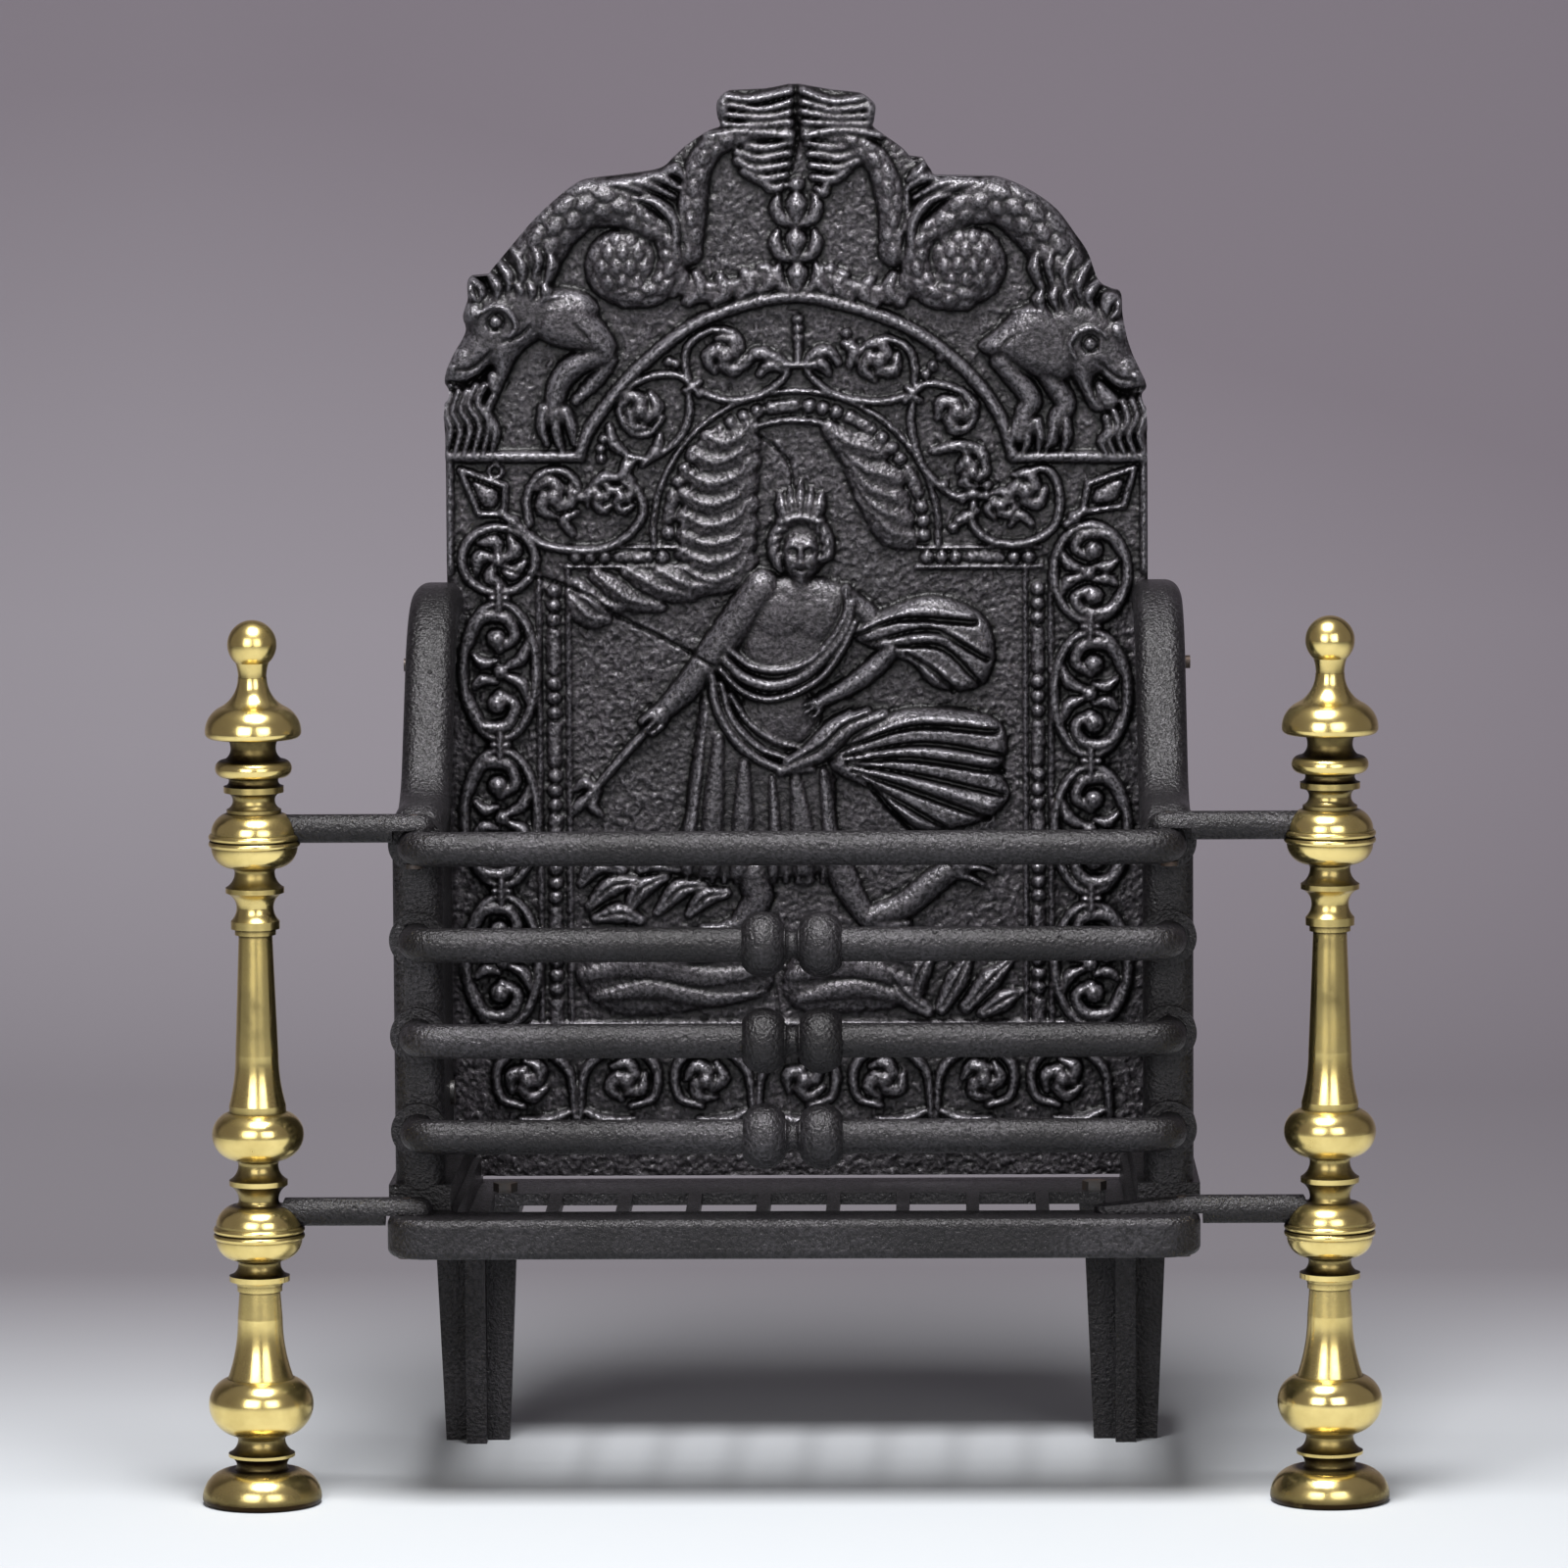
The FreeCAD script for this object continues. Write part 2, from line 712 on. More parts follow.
def cheek_edge():
    """Centre line of the rounded edge: up the front, round the ledge, up the ogee to the back."""
    inset = size("bead_depth") / 2.0
    front_bend = size("cheek_front_bend")
    hollow = size("cheek_hollow_bend")
    crown = size("cheek_crown_bend")
    slope = size("cheek_slope_angle")
    ledge = CHEEK_LEDGE
    top = ledge + size("cheek_top_rise")
    bends = hollow + crown
    run_up = (size("cheek_top_rise") - bends * (1.0 - cosine(slope))) / sine(slope)
    run = bends * sine(slope) + run_up * cosine(slope)
    crown_end = CHEEK_LENGTH - size("cheek_crown_flat")
    ogee_start = crown_end - run
    return [
        (inset, NOTHING),
        (inset, ledge - front_bend, front_bend, 1),
        (inset + front_bend, ledge),
        (ogee_start, ledge, hollow, -1),
        (ogee_start + hollow * sine(slope), ledge + hollow * (1.0 - cosine(slope))),
        (crown_end - crown * sine(slope), top - crown * (1.0 - cosine(slope)), crown, 1),
        (crown_end, top),
        (CHEEK_LENGTH, top),
    ]


def make_cheek(label, side):
    """Web with a rounded edge, a foot on the rail and a socketed boss for each bar."""
    body = new_body(label)
    depth = CHEEK_LENGTH
    edge = cheek_edge()
    web = new_sketch(body, f"{label}_web_outline", "YZ_Plane")
    draw(web, edge + [(depth, NOTHING)])
    pad(body, f"{label}_web", web, size("web_thickness"), midplane=True)

    path = new_sketch(body, f"{label}_edge_path", "YZ_Plane")
    draw(path, edge, closed=False)
    section = new_sketch(body, f"{label}_edge_section", "XY_Plane")
    half_width = size("bead_width") / 2.0
    corner = size("bead_round")
    draw(section, [
        (-half_width + corner, NOTHING),
        (half_width - corner, NOTHING, corner, -1),
        (half_width, corner),
        (half_width, size("bead_depth") - corner, corner, -1),
        (half_width - corner, size("bead_depth")),
        (-half_width + corner, size("bead_depth"), corner, -1),
        (-half_width, size("bead_depth") - corner),
        (-half_width, corner, corner, -1),
    ])
    sweep(body, f"{label}_rounded_edge", section, path)

    foot = new_sketch(body, f"{label}_foot_outline", "XY_Plane")
    foot_half = size("cheek_foot_width") / 2.0
    draw_rectangle(foot, -foot_half, foot_half, NOTHING, depth)
    pad(body, f"{label}_foot", foot, size("cheek_foot_height"))

    bosses = new_sketch(body, f"{label}_boss_outline", "XZ_Plane", size("boss_length"))
    sockets = new_sketch(body, f"{label}_socket_outline", "XZ_Plane", size("boss_length"))
    for height in BAR_HEIGHTS:
        draw_circle(bosses, NOTHING, height - RIM_TOP, size("boss_radius"))
        draw_circle(sockets, NOTHING, height - RIM_TOP, size("bar_radius") + size("fit_clearance"))
    pad(body, f"{label}_bosses", bosses, size("boss_length") + size("bead_depth") / 2.0, backwards=True)
    pocket(body, f"{label}_sockets", sockets, size("boss_length") + size("bar_socket_depth"))

    bolts = new_sketch(body, f"{label}_clip_holes", "YZ_Plane")
    for height in ("clip_low_height", "clip_high_height"):
        draw_circle(bolts, CLIP_BOLT_ALONG, size(height),
                    size("clip_bolt_radius") + size("fit_clearance"))
    pocket(body, f"{label}_clip_bores", bolts, size("web_thickness") * CLEAR, midplane=True)

    taps = new_sketch(body, f"{label}_foot_taps", "XY_Plane")
    for along in CHEEK_BOLTS.values():
        draw_circle(taps, NOTHING, along, size("bolt_radius") + size("fit_clearance"))
    pocket(body, f"{label}_foot_bores", taps, size("cheek_bolt_reach") + size("fit_clearance"),
           backwards=True)
    trim_to_fireback(body, label, side)
    place(body, size("cheek_half_gauge") * side, CHEEK_Y, RIM_TOP, turn=SPLAY * side)


def along_cheek(across, depth):
    """Way along a cheek, at some distance out from its middle plane, to a plane across the basket."""
    return (depth - across * sine(SPLAY)) / cosine(SPLAY)


def trim_to_fireback(body, label, side):
    """Cut the back end of a splayed cheek parallel to the fireback that bears on it."""
    half = size("cheek_foot_width")
    trim = new_sketch(body, f"{label}_back_outline", "XY_Plane")
    draw(trim, [
        (-half, along_cheek(-half * side, CHEEK_DEPTH)),
        (half, along_cheek(half * side, CHEEK_DEPTH)),
        (half, CHEEK_LENGTH * CLEAR),
        (-half, CHEEK_LENGTH * CLEAR),
    ])
    pocket(body, f"{label}_back_trim", trim, CHEEK_TOP, backwards=True)


# Fire bars

def make_bar(label, height, knopped):
    """A round bar whose ends turn back into the cheeks; some carry twin knops at the middle."""
    body = new_body(label)
    bend = size("bar_bend_radius")
    back_to_cheek = size("bar_setout") + size("cheek_setback")
    corner_x = size("cheek_half_gauge") + back_to_cheek * tangent(SPLAY)
    reach = bend * tangent((SPLAY + RIGHT_ANGLE) / 2.0)
    length = back_to_cheek / cosine(SPLAY) + size("bar_socket_depth") - size("fit_clearance")
    path = new_sketch(body, f"{label}_path", "XY_Plane")
    draw(path, [
        (NOTHING, NOTHING),
        (corner_x - reach, NOTHING, bend, -1),
        (corner_x - reach * sine(SPLAY), reach * cosine(SPLAY)),
        (corner_x - length * sine(SPLAY), length * cosine(SPLAY)),
    ], closed=False)
    section = new_sketch(body, f"{label}_section", "YZ_Plane")
    draw_circle(section, NOTHING, NOTHING, size("bar_radius"))
    halves = [sweep(body, f"{label}_half", section, path)]
    if knopped:
        halves.append(make_knop(body, label))
    mirror(body, f"{label}_whole", halves)
    if knopped:
        cut_knop_neck(body, label)
    else:
        rivets = new_sketch(body, f"{label}_rivet_holes", "XY_Plane", size("bar_radius"))
        for side in SIDES.values():
            draw_circle(rivets, upper_rivet_x(side), size("bar_setout"),
                        size("rivet_radius") + size("fit_clearance"))
        pocket(body, f"{label}_rivet_bores", rivets, size("bar_radius") * 2.0)
    place(body, NOTHING, AXIS_Y - size("bar_setout"), height)


def make_knop(body, label):
    """One oblate bulb, turned about the bar."""
    inner = size("knop_spacing") - size("knop_half_width")
    outer = size("knop_spacing") + size("knop_half_width")
    rise = size("knop_radius") - size("knop_collar_radius")
    half_width = size("knop_half_width")
    swell = (rise * rise + half_width * half_width) / (rise * 2.0)
    profile = new_sketch(body, f"{label}_knop_outline", "XY_Plane")
    draw(profile, [
        (inner, NOTHING),
        (outer, NOTHING),
        (outer, size("knop_collar_radius"), swell, -1),
        (size("knop_spacing"), size("knop_radius"), swell, -1),
        (inner, size("knop_collar_radius")),
    ])
    return revolve(body, f"{label}_knop", profile, "H_Axis")


def cut_knop_neck(body, label):
    """Waist between the two bulbs, hollowed down into the bar."""
    half_gap = size("knop_spacing") - size("knop_half_width")
    depth = size("knop_collar_radius") - size("knop_neck_radius")
    hollow = (depth * depth + half_gap * half_gap) / (depth * 2.0)
    profile = new_sketch(body, f"{label}_neck_outline", "XY_Plane")
    draw(profile, [
        (-half_gap, size("knop_collar_radius"), hollow, -1),
        (NOTHING, size("knop_neck_radius"), hollow, -1),
        (half_gap, size("knop_collar_radius")),
    ])
    groove(body, f"{label}_neck", profile, "H_Axis")


# Fireback

def make_fireback():
    """Shaped plate with its raised border, arch, panel frame and main relief."""
    body = new_body("fireback")
    half = FIREBACK_HALF
    outline = new_sketch(body, "fireback_outline", "XZ_Plane")
    draw(outline, [
        (NOTHING, NOTHING),
        (half, NOTHING),
        (half, size("shoulder_height")),
        (half, size("shoulder_height") + size("snout_notch_rise") / 2.0),
        (half - size("snout_notch"), size("shoulder_height") + size("snout_notch_rise")),
        (half, size("snout_height")),
        (half - size("brow_inset"), size("brow_height")),
        (half - size("ear_inset"), size("ear_height")),
        (half - size("nape_inset"), size("nape_height")) + back_swell(),
        (size("back_half_width"), size("back_height")),
        (size("tail_half_width"), size("tail_height")),
        (size("crest_half_width"), size("crest_foot_height")),
        (size("crest_half_width"), size("crest_side_height")),
        (size("crest_half_width") - size("crest_corner"),
         size("fireback_height") - size("crest_corner") / 2.0),
        (NOTHING, size("fireback_height")),
    ])
    plate = pad(body, "fireback_plate", outline, size("fireback_thickness"), backwards=True)
    mirror(body, "fireback_blank", [plate])
    for order in range(HUSK_COUNT):
        up = size("arch_crown_height") + size("husk_rise") + size("husk_pitch") * order
        swell(body, f"husk_{order}", NOTHING, up, size("husk_half_length"), size("husk_half_width"),
              size("husk_relief"), NOTHING)
    pad(body, "fireback_foot_middle", foot_row(body, "foot_middle", [NOTHING]), size("foot_row_relief"))
    for label in FIGURE_MASSES:
        mass(body, label, size(f"{label}_across"), size("panel_foot_height") + size(f"{label}_up"))
    frame = pad(body, "fireback_arch", arch_moulding(body), size("moulding_height"))
    panel = pad(body, "fireback_panel", panel_frame(body), size("panel_band_height"))
    crest = pad(body, "fireback_crest", crest_blocks(body), size("crest_block_relief"))
    places = [size("foot_row_pitch") * (order + 1) for order in range(FOOT_ROW_HALF_COUNT)]
    row = pad(body, "fireback_foot_row", foot_row(body, "foot_row", places), size("foot_row_relief"))
    halves = [frame, panel, crest, row] + border_links(body) + beast(body) + curtain(body)
    mirror(body, "fireback_whole", halves)
    place(body, NOTHING, FIREBACK_Y, SEAT_Z)


def draw_capsule(sketch, across, up, half_length, half_width, turn):
    """A long outline with round ends, turned on the plate's front."""
    straight = half_length - half_width
    corners = [
        (-straight, -half_width),
        (straight, -half_width, half_width, -1),
        (half_length, NOTHING, half_width, -1),
        (straight, half_width),
        (-straight, half_width, half_width, -1),
        (-half_length, NOTHING, half_width, -1),
    ]
    turned = []
    for corner in corners:
        along, aside = corner[:2]
        turned.append((across + along * cosine(turn) - aside * sine(turn),
                       up + along * sine(turn) + aside * cosine(turn)) + corner[2:])
    draw(sketch, turned)


def swell(body, label, across, up, half_length, half_width, relief, turn):
    """A mass of the relief with rounded ends."""
    sketch = new_sketch(body, f"{label}_outline", "XZ_Plane")
    draw_capsule(sketch, across, up, half_length, half_width, turn)
    return pad(body, label, sketch, relief, merged=False)


def mass(body, label, across, up):
    """A rounded mass with sizes of its own in the sheet."""
    return swell(body, label, across, up, size(f"{label}_half_length"), size(f"{label}_half_width"),
                 size(f"{label}_relief"), size(f"{label}_turn"))


def bends(start, runs):
    """Corners of a path that sets out upwards: a straight run, then arcs to the left, each tangent."""
    across, up, straight = start
    corners = [(across, up)]
    up = up + straight
    heading = as_size(RIGHT_ANGLE)
    for radius, turn in runs:
        corners.append((across, up, radius, -1))
        after = heading + turn
        across = across + radius * (sine(after) - sine(heading))
        up = up + radius * (cosine(heading) - cosine(after))
        heading = after
    corners.append((across, up))
    return corners


def strand(body, label, start, runs, width, relief):
    """A round-backed strand of the relief along a path on the plate's front."""
    across, up, _ = start
    path = new_sketch(body, f"{label}_path", "XZ_Plane")
    draw(path, bends(start, runs), closed=False)
    left = across - width / 2.0
    right = across + width / 2.0
    curve = (relief * relief + width * width / 4.0) / (relief * 2.0)
    section = new_sketch(body, f"{label}_section", "XY_Plane", up)
    draw(section, [
        (left, size("relief_root")),
        (left, NOTHING, curve, -1),
        (right, NOTHING),
        (right, size("relief_root")),
    ])
    return sweep(body, label, section, path)


def beast(body):
    """Arched and coiled body, tail raised to the crest, head, chest and foreleg, right half."""
    shoulder = size("shoulder_height")
    coil = (size("beast_coil_bend"), size("beast_coil_turn"))
    made = [
        strand(body, "beast_body",
               (FIREBACK_HALF - size("beast_inset"), shoulder + size("beast_rise"), size("beast_flank")),
               [(size("beast_arch_bend"), size("beast_arch_turn")), coil, coil],
               size("beast_width"), size("beast_relief")),
        strand(body, "beast_tail",
               (size("tail_across"), size("arch_crown_height") + size("tail_rise"), size("tail_run")),
               [(size("tail_bend"), size("tail_turn"))], size("tail_width"), size("tail_relief")),
    ]
    for label in BEAST_MASSES:
        made.append(mass(body, label, FIREBACK_HALF - size(f"{label}_across"), shoulder + size(f"{label}_up")))
    return made


def curtain(body):
    """Folds hung inside the inner arch, right half."""
    made = []
    for order in range(CURTAIN_FOLDS):
        across = size("curtain_across") + size("curtain_step_across") * order
        up = size("inner_arch_crown") - size("curtain_drop") - size("curtain_step_down") * order
        made.append(swell(body, f"curtain_{order}", across, up, size("curtain_half_length"),
                          size("curtain_half_width"), size("curtain_relief"), size("curtain_turn")))
    return made


def crest_blocks(body):
    """Block at the top of the crest, right half."""
    inset = size("crest_block_inset")
    sketch = new_sketch(body, "crest_outline", "XZ_Plane")
    draw_rectangle(sketch, inset, size("crest_half_width") - inset, size("crest_foot_height") - inset,
                   size("crest_side_height"))
    return sketch


def border_links(body):
    """Chain of long links down the side, each with a pair of volutes inside, right half."""
    across = FIREBACK_HALF - size("link_inset")
    upright = as_size(RIGHT_ANGLE)
    stroke = size("link_stroke")
    radius = size("link_half_width")
    chain = [(size("link_first_height"), size("link_first_half"))]
    for order in range(LINK_COUNT):
        chain.append((size("link_height") - size("link_pitch") * order, size("link_half")))
    made = []
    for order, (middle, half) in enumerate(chain):
        sketch = new_sketch(body, f"link_{order}_outline", "XZ_Plane")
        draw_capsule(sketch, across, middle, half, radius, upright)
        draw_capsule(sketch, across, middle, half - stroke, radius - stroke, upright)
        spread = half - stroke - size("volute_margin") - size("volute_radius")
        for volute in (middle - spread, middle + spread):
            draw_circle(sketch, across, volute, size("volute_radius"))
        made.append(pad(body, f"link_{order}", sketch, size("link_relief"), merged=False))
    return made


def foot_row(body, label, places):
    """Round bosses above the foot."""
    sketch = new_sketch(body, f"{label}_outlines", "XZ_Plane")
    for across in places:
        draw_circle(sketch, across, size("foot_row_height"), size("foot_row_radius"))
    return sketch


def back_swell():
    """Arc of the crest's rounded shoulders, level where it meets the tail."""
    run = FIREBACK_HALF - size("nape_inset") - size("back_half_width")
    rise = size("back_height") - size("nape_height")
    return ((run * run + rise * rise) / (rise * 2.0), -1)


def arch_moulding(body):
    """Border up the side, along the shoulder and over the arch, right half."""
    half = FIREBACK_HALF
    width = size("moulding_width")
    outer = size("arch_radius")
    inner = outer - width
    centre = size("arch_crown_height") - outer
    shoulder = size("shoulder_height")
    spring_outer = root(outer * outer - (shoulder - centre) * (shoulder - centre))
    under = shoulder - width
    spring_inner = root(inner * inner - (under - centre) * (under - centre))
    foot = CHEEK_TOP - SEAT_Z + size("moulding_gap")
    sketch = new_sketch(body, "arch_outline", "XZ_Plane")
    draw(sketch, [
        (half - width, foot),
        (half, foot),
        (half, shoulder),
        (spring_outer, shoulder, outer, -1),
        (NOTHING, size("arch_crown_height")),
        (NOTHING, size("arch_crown_height") - width, inner, 1),
        (spring_inner, under),
        (half - width, under),
    ])
    return sketch


def panel_frame(body):
    """Band round the picture panel, stepping in to the inner arch, right half."""
    half = size("panel_half_width")
    band = size("panel_band")
    outer = size("inner_arch_radius")
    inner = outer - band
    centre = size("inner_arch_crown") - outer
    shoulder = size("panel_shoulder_height")
    under = shoulder - band
    foot = size("panel_foot_height")
    spring_outer = root(outer * outer - (shoulder - centre) * (shoulder - centre))
    spring_inner = root(inner * inner - (under - centre) * (under - centre))
    sketch = new_sketch(body, "panel_outline", "XZ_Plane")
    draw(sketch, [
        (NOTHING, foot),
        (half, foot),
        (half, shoulder),
        (spring_outer, shoulder, outer, -1),
        (NOTHING, size("inner_arch_crown")),
        (NOTHING, size("inner_arch_crown") - band, inner, 1),
        (spring_inner, under),
        (half - band, under),
        (half - band, foot + band),
        (NOTHING, foot + band),
    ])
    return sketch


# Legs

def make_leg(label, side):
    """Cruciform leg, tapered to the floor, with a bolting flange under the deck."""
    body = new_body(label)
    sections = []
    for name, height in (("foot", NOTHING), ("top", GRATE_Z)):
        arm = size(f"leg_{name}_width") / 2.0
        rib = size("leg_rib") / 2.0
        section = new_sketch(body, f"{label}_{name}_section", "XY_Plane", height)
        draw(section, [
            (-rib, -arm), (rib, -arm), (rib, -rib), (arm, -rib), (arm, rib), (rib, rib),
            (rib, arm), (-rib, arm), (-rib, rib), (-arm, rib), (-arm, -rib), (-rib, -rib),
        ])
        sections.append(section)
    loft = feature(body, "AdditiveLoft", f"{label}_taper", sections[0])
    loft.Sections = [sections[1]]
    loft.Ruled = True
    doc.recompute()
    flange = new_sketch(body, f"{label}_flange_outline", "XY_Plane", GRATE_Z)
    flange_half = size("leg_flange") / 2.0
    draw_rectangle(flange, -flange_half, flange_half, -flange_half, flange_half)
    pad(body, f"{label}_flange", flange, size("leg_flange_thickness"), backwards=True)
    hole = new_sketch(body, f"{label}_flange_hole", "XY_Plane", GRATE_Z)
    draw_circle(hole, size("leg_bolt_inset") * -side, -size("leg_bolt_inset"),
                size("bolt_radius") + size("fit_clearance"))
    pocket(body, f"{label}_flange_bore", hole, size("leg_flange_thickness"))
    place(body, LEG_X * side, LEG_Y, NOTHING)


# Turned brass standards

STRAIGHT = "straight"
BELLY = "belly"
HOLLOW = "hollow"


def turning_edge(start, finish, kind):
    """Arc of a turned outline: a belly is upright at its wide end, a hollow at its narrow end."""
    if kind == STRAIGHT:
        return ()
    across = finish[0] - start[0]
    up = finish[1] - start[1]
    if across.value < 0:
        across = -across
    radius = (across * across + up * up) / (across * 2.0)
    return (radius, -1 if kind == BELLY else 1)


def turned_corners(steps):
    """Corners of a turned outline from (rise, radius, kind) steps, going up from z = 0."""
    points = []
    height = NOTHING
    for rise, radius, _ in steps:
        height = height + rise
        points.append((radius, height))
    corners = []
    for index, point in enumerate(points[:-1]):
        corners.append(point + turning_edge(point, points[index + 1], steps[index + 1][2]))
    corners.append(points[-1])
    return corners


def step(rise, radius, kind=STRAIGHT):
    return (size(rise) if rise else NOTHING, size(radius), kind)


def height_of(steps):
    total = NOTHING
    for rise, _, _ in steps:
        total = total + rise
    return total


GIRDLE_UNDER = [
    (size("girdle_rise") / 2.0, size("girdle_radius"), BELLY),
    (size("girdle_rise") / 2.0, size("ball_radius"), BELLY),
]

FOOT_STEPS = [
    step(None, "foot_sole_radius"),
    step("foot_edge_rise", "foot_radius", BELLY),
    step("foot_dome_rise", "foot_dome_radius", BELLY),
    step("foot_neck_rise", "foot_neck_radius", HOLLOW),
    step("foot_ring_rise", "foot_ring_radius", HOLLOW),
    step("foot_ring_edge", "foot_ring_radius"),
    step("bulb_neck_rise", "bulb_neck_radius", HOLLOW),
    step("bulb_root_rise", "bulb_root_radius"),
    step("low_bulb_rise", "low_bulb_radius", BELLY),
    step("low_bulb_crown", "low_bulb_top_radius", BELLY),
]

LOWER_COLLAR_STEPS = [
    step(None, "collar_seat_radius"),
    step("collar_flare", "lower_collar_radius", HOLLOW),
    step("collar_edge", "lower_collar_radius"),
    step("lower_collar_hollow", "lower_collar_neck", HOLLOW),
    step("ball_root_rise", "ball_root_radius", HOLLOW),
    step("ball_half_rise", "ball_radius", BELLY),
] + GIRDLE_UNDER

MIDDLE_KNOP_STEPS = [
    step(None, "ball_radius"),
] + GIRDLE_UNDER + [
    step("ball_half_rise", "ball_crown_radius", BELLY),
    step("reel_neck_rise", "reel_neck_radius", HOLLOW),
    step("reel_flare", "reel_ring_radius", HOLLOW),
    step("reel_edge", "reel_ring_radius"),
    step("reel_hollow", "reel_neck_radius", HOLLOW),
    step("bulb_step_rise", "bulb_step_radius", HOLLOW),
    step("mid_bulb_rise", "mid_bulb_radius", BELLY),
    step("mid_bulb_crown", "mid_bulb_top_radius", BELLY),
]

UPPER_COLLAR_STEPS = [
    step(None, "small_ring_radius"),
    step("small_ring_rise", "small_ring_radius"),
    step("upper_collar_hollow", "upper_collar_neck", HOLLOW),
    step("reel_flare", "reel_ring_radius", HOLLOW),
    step("reel_edge", "reel_ring_radius"),
    step("reel_hollow", "reel_neck_radius", HOLLOW),
    step("ball_root_rise", "ball_root_radius", HOLLOW),
    step("ball_half_rise", "ball_radius", BELLY),
] + GIRDLE_UNDER

FINIAL_VASE_STEPS = [
    step(None, "ball_radius"),
] + GIRDLE_UNDER + [
    step("ball_half_rise", "ball_crown_radius", BELLY),
    step(None, "vase_fillet_radius"),
    step("vase_fillet_rise", "vase_fillet_radius"),
    step("vase_neck_rise", "vase_neck_radius", HOLLOW),
    step("vase_ring_flare", "vase_ring_radius", HOLLOW),
    step("vase_ring_edge", "vase_ring_radius"),
    step("vase_groove_rise", "vase_groove_radius", HOLLOW),
    step("torus_root_rise", "torus_root_radius", HOLLOW),
    step("torus_half_rise", "torus_radius", BELLY),
    step("torus_half_rise", "torus_root_radius", BELLY),
    step("bell_neck_rise", "bell_neck_radius", HOLLOW),
    step("bell_foot_rise", "bell_foot_radius", HOLLOW),
    step(None, "bell_lip_radius"),
    step("bell_lip_rise", "bell_radius", BELLY),
    step("bell_shoulder_rise", "bell_shoulder_radius", BELLY),
    step("bell_sweep_rise", "bell_top_radius", HOLLOW),
]

FOOT_HEIGHT = height_of(FOOT_STEPS)
LOWER_SEAM = LOWER_ARM_Z - size("lower_arm_above_seam")
UPPER_SEAM = UPPER_ARM_Z - size("upper_arm_above_seam")
LOWER_COLLAR_Z = LOWER_SEAM - height_of(LOWER_COLLAR_STEPS)
UPPER_SHAFT_Z = LOWER_SEAM + height_of(MIDDLE_KNOP_STEPS)
UPPER_COLLAR_Z = UPPER_SEAM - height_of(UPPER_COLLAR_STEPS)
KNOB_Z = UPPER_SEAM + height_of(FINIAL_VASE_STEPS)

LOWER_SHAFT_STEPS = [
    step(None, "lower_flare_radius"),
    step("lower_flare_rise", "lower_waist_radius", HOLLOW),
    (LOWER_COLLAR_Z - FOOT_HEIGHT - size("lower_flare_rise") - size("step_rise"),
     size("lower_shaft_top_radius"), STRAIGHT),
    step(None, "step_radius"),
    step("step_rise", "step_radius"),
]

UPPER_SHAFT_STEPS = [
    step(None, "upper_flare_radius"),
    step("upper_flare_edge", "upper_flare_radius"),
    step("upper_flare_rise", "upper_waist_radius", HOLLOW),
    (UPPER_COLLAR_Z - UPPER_SHAFT_Z - size("upper_flare_edge") - size("upper_flare_rise")
     - size("upper_step_rise"), size("upper_shaft_top_radius"), STRAIGHT),
    step(None, "upper_step_radius"),
    step("upper_step_rise", "upper_step_radius"),
]


def make_turning(label, side, steps, base):
    """A turned brass section, bored for the rod that draws the standard together."""
    body = new_body(label)
    bore = size("rod_radius") + size("fit_clearance")
    profile = new_sketch(body, f"{label}_outline", "XZ_Plane")
    draw(profile, [(bore, NOTHING)] + turned_corners(steps) + [(bore, height_of(steps))])
    revolve(body, f"{label}_turning", profile, "V_Axis")
    place(body, size("standard_half_gauge") * side, AXIS_Y, base)
    return body


def hollow_foot(body, label):
    """Hollow under the foot that takes the rod's nut."""
    profile = new_sketch(body, f"{label}_hollow_outline", "XZ_Plane")
    radius = size("foot_hollow_radius")
    height = size("foot_hollow_height")
    inner = size("foot_nut_radius") + size("rod_foot_gap")
    draw(profile, [(NOTHING, NOTHING), (radius, NOTHING), (inner, height), (NOTHING, height)])
    groove(body, f"{label}_hollow", profile, "V_Axis")


def bore_for_arm(body, label, side, rise):
    """Cross hole in the ball for the arm's tenon, on the side of the basket."""
    hole = new_sketch(body, f"{label}_arm_hole", "YZ_Plane")
    draw_circle(hole, NOTHING, rise, size("arm_tenon_radius") + size("fit_clearance"))
    pocket(body, f"{label}_arm_bore", hole, size("girdle_radius"), backwards=side < 0)


def make_knob(label, side):
    """Ball finial, bored blind for the top of the rod."""
    body = new_body(label)
    bore = size("rod_radius") + size("fit_clearance")
    reach = size("rod_knob_reach") + size("fit_clearance")
    ball = size("knob_radius")
    neck = size("knob_neck_radius")
    centre = size("knob_neck_rise") + root(ball * ball - neck * neck)
    foot = (size("knob_foot_radius"), NOTHING)
    shoulder = (neck, size("knob_neck_rise"))
    profile = new_sketch(body, f"{label}_outline", "XZ_Plane")
    draw(profile, [
        (bore, NOTHING),
        foot + turning_edge(foot, shoulder, HOLLOW),
        shoulder + (ball, -1),
        (ball, centre, ball, -1),
        (NOTHING, centre + ball),
        (NOTHING, reach),
        (bore, reach),
    ])
    revolve(body, f"{label}_turning", profile, "V_Axis")
    place(body, size("standard_half_gauge") * side, AXIS_Y, KNOB_Z)


def make_rod(label, side):
    rod = doc.addObject("Part::Cylinder", label)
    rod.Label = label
    nodes[label] = rod
    rod.setExpression("Radius", size("rod_radius").text)
    rod.setExpression("Height", (KNOB_Z + size("rod_knob_reach") - size("rod_foot_gap")).text)
    place(rod, size("standard_half_gauge") * side, AXIS_Y, size("rod_foot_gap"))


